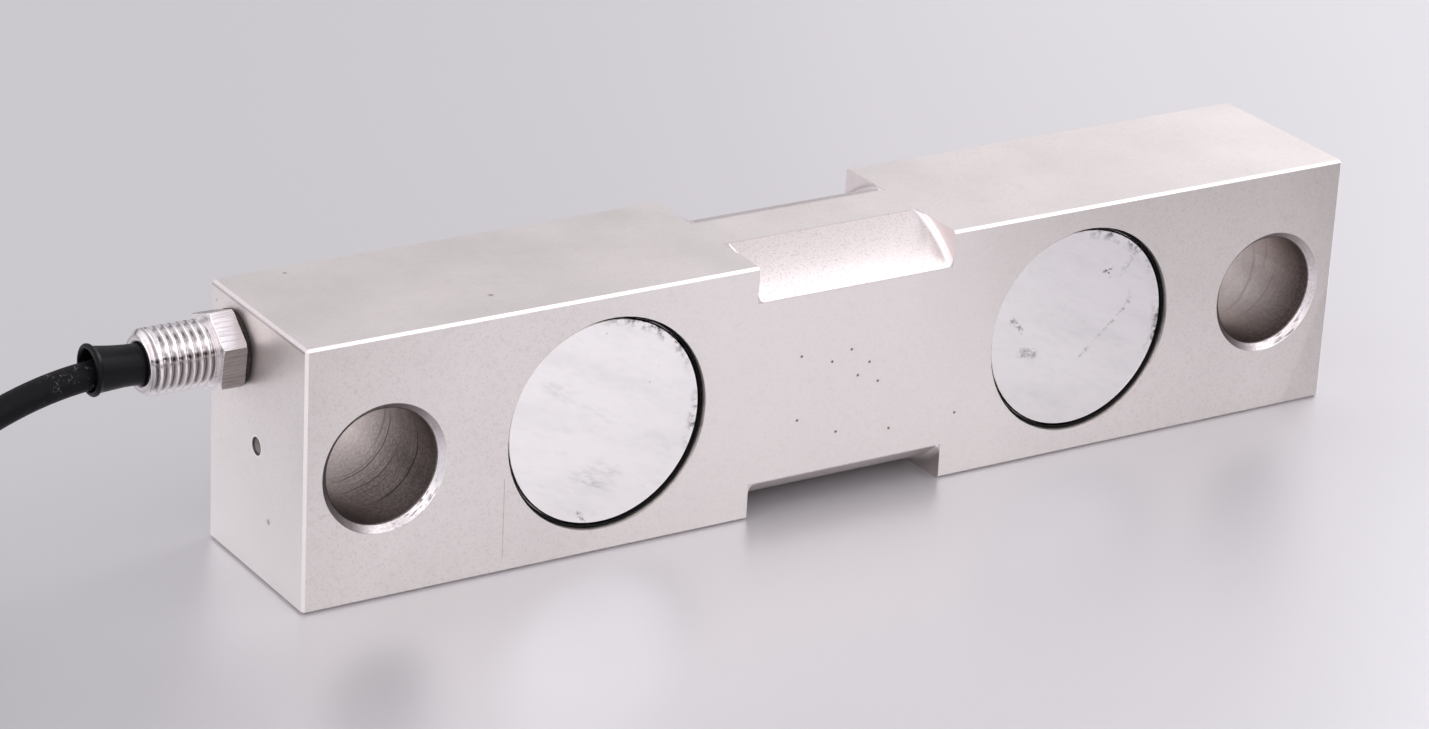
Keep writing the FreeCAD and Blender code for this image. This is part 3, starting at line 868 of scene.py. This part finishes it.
def wallTone(tree, at, arcs):
    # Hole walls with painted shade: darker than the faces, towards the front and at the lower left, with
    # painted light towards the back and in the middle of the right hole
    faint = noise(tree, combine(tree, product(tree, at.turn, 0.0011), at.y, 0.0), 900, 3, 0.6)
    # Darker than the faces: painted shade in the holes, with grain and faint marks
    wall = mix(tree, remap(tree, at.grit, 0.40, 0.60), (136, 126, 123), (178, 168, 164))
    wall = mix(tree, remap(tree, faint, 0.35, 0.65, 0.0, 0.30), wall, (108, 98, 95))
    # Painted shade towards the front, painted light in the right hole's middle and towards the back
    wall = mix(tree, remap(tree, at.y, -0.018, 0.010, 0.55, 0.0), wall, (84, 75, 72))
    paintedRightLight = product(tree, at.right, window(tree, at.y, -0.007, 0.003, 0.008))
    wall = mix(tree, paintedRightLight, wall, mix(tree, at.grit, (222, 213, 209), (246, 239, 235)))
    wall = mix(tree, remap(tree, at.y, -0.004, 0.014, 0.0, 0.6), wall, (226, 216, 211))
    wall = mix(tree, arcs, wall, (52, 45, 43))
    shade = product(tree, remap(tree, at.degrees, -72, -110), remap(tree, at.y, 0.0, -0.009), 0.75)
    return mix(tree, shade, wall, (50, 43, 41))


def mouthTone(tree, at, scratch):
    # Hole mouths: grainy, with painted shade at the top and the lower left, and painted light and scratches
    # at the lower right
    mouth = mix(tree, remap(tree, at.grit, 0.3, 0.7), (206, 199, 198), (240, 235, 235))
    # Painted shade at the top and lower left, painted light at the lower right
    mouth = mix(tree, window(tree, at.degrees, 30, 110, 25), mouth, (190, 182, 181))
    paintedMouthLight = product(tree, window(tree, at.degrees, -62, 12, 12), scaled(tree, at.right, -0.5, 0.8))
    mouth = mix(tree, paintedMouthLight, mouth, (255, 252, 252))
    paintedLowLeftShade = minus(tree, 1.0, window(tree, at.degrees, -108, 118, 14))
    mouth = mix(tree, product(tree, paintedLowLeftShade, 0.75), mouth, (120, 111, 109))
    worn = scaled(tree, window(tree, at.degrees, -75, -30, 14), 0.75, 0.12)
    return mix(tree, product(tree, remap(tree, scratch, 0.53, 0.64), worn), mouth, (84, 77, 76))


def endTone(tree, at, base):
    # Turning centres with painted shade at their rim inside a painted highlight ring, and painted shade
    # under the ends' top edge
    rim, top = beam["centreRadius"], 2 * beam["axisHeight"]
    dark = remap(tree, at.reach, rim - 0.00032, rim - 0.00020)
    coneWithRimShade = mix(tree, dark, (150, 142, 136), (52, 47, 45))
    base = mix(tree, at.inCentre, base, coneWithRimShade)
    # Painted highlight round the centre's mouth
    paintedRimHighlight = product(tree, window(tree, at.reach, rim, rim + 0.0003, 0.0001), at.onEnd)
    base = mix(tree, paintedRimHighlight, base, (255, 253, 253))
    underEdge = product(tree, window(tree, at.z, top - 0.0009, top - 0.0005, 0.0002), at.onEnd, 0.5)
    return mix(tree, underEdge, base, (120, 110, 110))


def flaws(tree, at):
    # Pits in the front face, and with them the single stains and a scribed line
    pits = [spot(tree, at.place, (x / 1000, -beam["halfWidth"], z / 1000), beam["pitRadius"])
            for x, z in beam["pits"]]
    pits = highest(tree, *pits)
    stains = [product(tree, spot(tree, at.place, (x / 1000, y / 1000, z / 1000), radius / 1000, 0.3), 0.6)
              for x, y, z, radius in beam["stains"]]
    line = remap(tree, gap(tree, at.x, beam["scribeX"]), 0.00003, 0.00012, 1.0, 0.0)
    line = product(tree, line, isAbove(tree, at.z, beam["scribeLow"]),
                   isBelow(tree, at.z, beam["scribeHigh"]), at.onFront, 0.35)
    return pits, highest(tree, pits, *stains, line)


def platedSteel():
    # One finish for the whole beam, with its machined places worked out from the shape, and painted light
    # and shade on them
    material, tree, surface, place = newMaterial("platedSteel")
    at = beamPlaces(tree, place)
    arcs = boringArcs(tree, at)
    around = product(tree, at.turn, scaled(tree, at.right, -0.0007, 0.0016))
    scratch = noise(tree, combine(tree, around, at.holeReach, 0.0), 4200, 2, 0.6)
    pits, stains = flaws(tree, at)
    base = neckTone(tree, at, plainTone(tree, at))
    base = mix(tree, at.inHole, base, wallTone(tree, at, arcs))
    base = mix(tree, at.inMouth, base, mouthTone(tree, at, scratch))
    # Painted highlight on the broken edges
    base = mix(tree, at.onEdge, base, mix(tree, at.fine, (214, 206, 205), (246, 240, 240)))
    base = mix(tree, product(tree, stains, 0.9), endTone(tree, at, base), (78, 70, 68))
    # Stronger painted highlight on the upright edges, dull white rather than metal, as are the turning
    # centres
    base = mix(tree, at.upright, base, mix(tree, at.fine, (244, 236, 234), (255, 250, 247)))
    plug(tree, surface.inputs["Metallic"], minus(tree, 1.0, highest(tree, at.upright, at.inCentre)))
    rough = total(tree, remap(tree, at.fine, 0.3, 0.7, 0.36, 0.46),
                  remap(tree, at.broad, 0.3, 0.7, -0.03, 0.03), product(tree, at.onEdge, -0.04))
    relief = total(tree, product(tree, at.fine, 0.9), product(tree, at.middle, 0.5),
                   product(tree, at.turned, at.onNeck, -0.2),
                   product(tree, minus(tree, at.grit, arcs), at.inHole, 1.2),
                   product(tree, total(tree, scratch, at.grit), at.inMouth, 1.2), product(tree, pits, -3.0))
    coat(tree, surface, base, rough, relief, 0.40, 0.00006)
    return material


# Steel of the cover plates

coverPlate = {
    "face": -0.0168,
    "dirtyRim": (0.0172, 0.0192),
    "smearLean": 0.5,
    "smearStretch": 0.4,
    # x, z, radius and strength of smears and specks on the two front covers, in millimetres
    "smears": [
        (-53.2, 13.6, 2.4, 0.26), (-51.0, 15.6, 2.1, 0.16), (-60.6, 32.0, 2.3, 0.10),
        (-53.4, 26.0, 2.3, 0.08),
    ],
    "specks": [
        (-56.0, 7.7, 0.35, 0.5), (-55.4, 7.0, 0.35, 0.5), (-54.8, 6.4, 0.30, 0.4), (-51.5, 41.4, 0.28, 0.7),
        (-40.5, 33.5, 0.28, 0.7), (-42.2, 30.6, 0.28, 0.6), (63.6, 38.5, 0.45, 0.6), (64.4, 37.6, 0.35, 0.5),
        (57.1, 35.0, 0.45, 0.7), (57.8, 34.5, 0.35, 0.6), (58.2, 33.4, 0.50, 0.3), (63.1, 28.1, 0.9, 0.35),
        (62.0, 26.6, 0.5, 0.3), (59.6, 24.3, 0.7, 0.35), (58.2, 23.0, 0.5, 0.3), (57.0, 22.1, 0.5, 0.35),
        (53.8, 19.6, 0.6, 0.4), (52.6, 18.6, 0.5, 0.25), (36.2, 28.3, 0.7, 0.4), (38.7, 26.3, 0.6, 0.3),
        (39.5, 21.7, 1.1, 0.25), (41.9, 20.7, 0.8, 0.25),
    ],
    # broken thin scratches: x and z of both ends, half width, strength
    "scratches": [
        (62.4, 27.0, 52.2, 18.2, 0.20, 0.45), (63.6, 30.6, 62.4, 27.0, 0.50, 0.30),
        (58.6, 35.4, 56.4, 35.0, 0.30, 1.0), (36.0, 29.0, 38.9, 25.8, 0.50, 0.60),
        (38.4, 21.8, 42.4, 20.8, 1.00, 0.45), (64.6, 39.0, 60.4, 33.4, 0.60, 0.35),
        (-56.4, 8.2, -54.4, 6.0, 0.50, 0.60),
    ],
}


def alongAcross(tree, x, z, runX, runZ):
    # A place in the front plane, measured along a direction and across it
    ahead = scaled(tree, z, runZ, product(tree, x, runX))
    aside = scaled(tree, z, runX, product(tree, x, -runZ))
    return ahead, aside


def coverMarks(tree, place, streak):
    # Specks and drawn out smears, broken up by the streaks, and the scratches over them
    x, y, z = axes(tree, place)
    face, stretch = coverPlate["face"], coverPlate["smearStretch"]
    runX, runZ = math.cos(coverPlate["smearLean"]), -math.sin(coverPlate["smearLean"])
    ahead, aside = alongAcross(tree, x, z, runX, runZ)
    drawnOut = combine(tree, product(tree, ahead, stretch), y, aside)
    marks = []
    for markX, markZ, radius, strength in coverPlate["smears"]:
        centre = (stretch * (runX * markX + runZ * markZ) / 1000, face, (runX * markZ - runZ * markX) / 1000)
        marks.append(product(tree, spot(tree, drawnOut, centre, radius / 1000, 0.1), strength))
    for markX, markZ, radius, strength in coverPlate["specks"]:
        centre = (markX / 1000, face, markZ / 1000)
        marks.append(product(tree, spot(tree, place, centre, radius / 1000, 0.1), strength))
    darker = scaled(tree, isAbove(tree, x, 0.0), 0.6, 1.0)
    marks = [product(tree, highest(tree, *marks), remap(tree, streak, 0.42, 0.60, 0.1, 1.4), darker)]
    hair = remap(tree, gap(tree, noise(tree, place, 850, 2, 0.6), 0.5), 0.012, 0.045, 1.0, 0.0)
    for startX, startZ, endX, endZ, halfWidth, strength in coverPlate["scratches"]:
        length = math.hypot(endX - startX, endZ - startZ)
        runX, runZ = (endX - startX) / length, (endZ - startZ) / length
        ahead, aside = alongAcross(tree, x, z, runX, runZ)
        first = startX * runX + startZ * runZ
        middle = startZ * runX - startX * runZ
        inLength = window(tree, ahead, first / 1000, (first + length) / 1000, 0.0003)
        inWidth = window(tree, aside, (middle - halfWidth) / 1000, (middle + halfWidth) / 1000, 0.0002)
        marks.append(product(tree, inLength, inWidth, hair, strength))
    return highest(tree, *marks)


def coverSteel():
    # Smooth plates with faint clouds and streaks, marks, dark traces of sealant at the rim, and painted
    # shade on the right-hand plates
    material, tree, surface, place = newMaterial("coverSteel", Metallic=1.0)
    x, y, z = axes(tree, place)
    fromMiddle = minus(tree, x, product(tree, calc(tree, "SIGN", x), bead["Pocket From Middle"]))
    rise = minus(tree, z, bead["Axis Height"])
    degrees = degreesRound(tree, rise, fromMiddle)
    slanted = combine(tree, product(tree, scaled(tree, z, -0.5, x), 0.28), y,
                      scaled(tree, x, 0.5, z))
    smear = noise(tree, slanted, 190, 5, 0.65)
    streak = noise(tree, slanted, 1100, 3, 0.65)
    grime = remap(tree, noise(tree, place, 700, 4, 0.7), 0.48, 0.60)
    dirty = total(tree, window(tree, degrees, -22, 5, 6), window(tree, degrees, 30, 85, 12))
    atRim = remap(tree, distance(tree, fromMiddle, rise), *coverPlate["dirtyRim"])
    dark = highest(tree, coverMarks(tree, place, streak), product(tree, atRim, dirty, grime, 0.9))
    cloud = total(tree, remap(tree, smear, 0.46, 0.72, 0.0, 0.20),
                  remap(tree, streak, 0.52, 0.74, 0.0, 0.16))
    base = mix(tree, cloud, (252, 250, 248), (206, 205, 204))
    # Painted shade on the right-hand plates, growing towards the upper right
    paintedShadeRight = product(tree, isAbove(tree, x, 0.0),
                       remap(tree, total(tree, fromMiddle, rise), -0.010, 0.022, 0.25, 1.0))
    base = mix(tree, paintedShadeRight, base, (240, 239, 241), "MULTIPLY")
    base = mix(tree, dark, base, (60, 56, 58))
    fine = remap(tree, noise(tree, place, 1500, 2), 0.3, 0.7, 0.11, 0.16)
    coat(tree, surface, base, total(tree, fine, product(tree, cloud, 0.2)), smear, 0.10, 0.0002)
    return material


# The smaller pieces and those inside

def speckled(name, first, second, scale, rough, metallic=0.0):
    # A plain small piece: two close colours, an uneven gloss and a little relief
    material, tree, surface, place = newMaterial(name, Metallic=metallic)
    grain = noise(tree, place, scale, 3)
    uneven = remap(tree, grain, 0.3, 0.7, rough, rough + 0.15)
    coat(tree, surface, mix(tree, grain, first, second), uneven, grain, 0.2, 0.0001)
    return material


def foilPattern():
    # Foil grid of a gauge: fine metal lines under a thin amber film
    material, tree, surface, place = newMaterial("gaugeFoil")
    x, y, z = axes(tree, place)
    lines = isAbove(tree, calc(tree, "SINE", product(tree, total(tree, x, absolute(tree, z)), 9000.0)), 0.1)
    base = mix(tree, lines, (196, 150, 78), (150, 134, 112))
    plug(tree, surface.inputs["Base Color"], base)
    plug(tree, surface.inputs["Roughness"], remap(tree, noise(tree, place, 900, 2), 0.3, 0.7, 0.28, 0.42))
    return material


def coreInsulation(name, shade, tipX):
    # Insulation of one core; the stripped end beyond tipX is tinned copper
    material, tree, surface, place = newMaterial(name)
    grain = noise(tree, place, 900, 2)
    bare = isAbove(tree, axes(tree, place)[0], tipX)
    dull = mix(tree, 1.0, shade, (231.115,) * 3, "MULTIPLY")  # eight tenths of the light
    base = mix(tree, bare, mix(tree, grain, dull, shade), (196, 180, 168))
    plug(tree, surface.inputs["Base Color"], base)
    plug(tree, surface.inputs["Metallic"], bare)
    plug(tree, surface.inputs["Roughness"], remap(tree, grain, 0.3, 0.7, 0.32, 0.46))
    return material


tinnedCopper = speckled("tinnedCopper", (176, 170, 166), (206, 200, 196), 1600, 0.28, 1.0)
leadInsulation = speckled("innerLead", (150, 44, 38), (176, 60, 52), 900, 0.4)
# how each node's name starts, and its finish; the first that fits is taken
finishes = [
    ("beam_body", platedSteel()),
    ("cover_", coverSteel()),
    ("hank_tie", moulded("tieNylon", (24, 24, 26), (36, 36, 39), 0.35, 0.5)),
    ("trim_board", speckled("boardLaminate", (28, 74, 44), (40, 96, 58), 1500, 0.4)),
    ("trim_chips", speckled("chipBlack", (20, 20, 22), (34, 34, 36), 1800, 0.45)),
    ("cable_cores", speckled("coreBundle", (52, 50, 54), (78, 76, 80), 700, 0.45)),
    ("core_red", coreInsulation("coreRed", (190, 34, 30), -0.1645)),
    ("core_green", coreInsulation("coreGreen", (36, 122, 58), -0.1615)),
    ("core_black", coreInsulation("coreBlack", (30, 30, 32), -0.1675)),
    ("core_white", coreInsulation("coreWhite", (224, 222, 216), -0.1645)),
    ("screen_wire", tinnedCopper),
    ("solder_tab", tinnedCopper),
    ("gauge_coat", speckled("gaugeCoat", (206, 202, 196), (228, 224, 218), 400, 0.3)),
    ("gauge_", foilPattern()),
    ("cross_leads", leadInsulation),
    ("link_leads", leadInsulation),
]
for name, piece in nodes.items():
    matching = [finish for start, finish in finishes if name.startswith(start)]
    if matching:
        dress(piece, matching[0])
print("finishes set")


# The cord as a whole

onCord = [sleevePiece, hexPiece, threadPiece, sealPiece]
onCord += [nodes[name] for name in ("hank_tie", "cable_cores", "core_red", "core_green", "core_black",
                                    "core_white", "screen_wire")]


# Floor and light

studio = {
    "floorSize": 6.0,
    "floorTone": (0.628, 0.624, 0.636, 1.0),
    "floorSheen": 0.45,
    "floorRoughness": 0.36,
    "lightTint": (0.95, 0.92, 0.965),
    # how bright the surroundings are all round, and what each side adds
    "sky": {"allRound": 0.26, "left": 0.80, "front": 0.57, "back": 0.12, "above": 0.69},
    # the surroundings darken towards the horizon
    "horizonTop": 0.24,
    "horizonGlow": 0.12,
    # name, place, aim, size, power, in metres and watts
    "lamps": [
        ("keyLamp", (0.55, -0.43, 0.84), (0, 0, 0.02), 0.50, 1.30),
        ("frontLamp", (0.30, -0.90, 0.45), (0, 0, 0.02), 0.50, 0.65),
        ("backLamp", (1.15, 1.05, 0.65), (0, 0, 0.02), 0.80, 0.62),
        ("floorLamp", (0.75, 0.25, 0.35), (0.40, 0.32, 0), 0.40, 3.2),
        ("leftLamp", (-0.95, 0.45, 0.30), (-0.10, 0, 0.02), 0.60, 2.0),
    ],
}


def makeFloor():
    half = studio["floorSize"] / 2
    corners = [(-half, -half, 0), (half, -half, 0), (half, half, 0), (-half, half, 0)]
    mesh = bpy.data.meshes.new("floor")
    mesh.from_pydata(corners, [], [(0, 1, 2, 3)])
    floor = addObject("floor", mesh)
    material, tree, surface, place = newMaterial("floorFinish", Roughness=studio["floorRoughness"])
    surface.inputs["Base Color"].default_value = studio["floorTone"]
    surface.inputs["Metallic"].default_value = studio["floorSheen"]
    dress(floor, material)


def makeWorld():
    world = bpy.data.worlds.new("studio")
    scene.world = world
    world.use_nodes = True
    tree = world.node_tree
    tree.nodes.clear()
    output = tree.nodes.new("ShaderNodeOutputWorld")
    surround = addNode(tree, "ShaderNodeBackground", Color=(*studio["lightTint"], 1.0))
    x, y, z = axes(tree, addNode(tree, "ShaderNodeTexCoord").outputs["Generated"])
    glow = studio["sky"]["allRound"]
    sides = [("left", x, -1.0), ("front", y, -1.0), ("back", y, 1.0), ("above", z, 1.0)]
    for side, reach, sign in sides:
        share = calc(tree, "MULTIPLY", reach, sign, clamp=True)
        glow = scaled(tree, share, studio["sky"][side], glow)
    horizon = remap(tree, z, 0.0, studio["horizonTop"], studio["horizonGlow"], 1.0)
    plug(tree, surround.inputs["Strength"], product(tree, glow, horizon))
    tree.links.new(surround.outputs[0], output.inputs[0])


def makeLamp(name, place, aim, size, power):
    light = bpy.data.lights.new(name, "AREA")
    light.shape = "SQUARE"
    light.size = size
    light.energy = power
    light.color = studio["lightTint"]
    lamp = addObject(name, light)
    lamp.visible_camera = False
    lamp.location = place
    lamp.rotation_mode = "QUATERNION"
    lamp.rotation_quaternion = (Vector(aim) - Vector(place)).to_track_quat("-Z", "Y")


makeFloor()
makeWorld()
for lampSettings in studio["lamps"]:
    makeLamp(*lampSettings)
print("studio set")
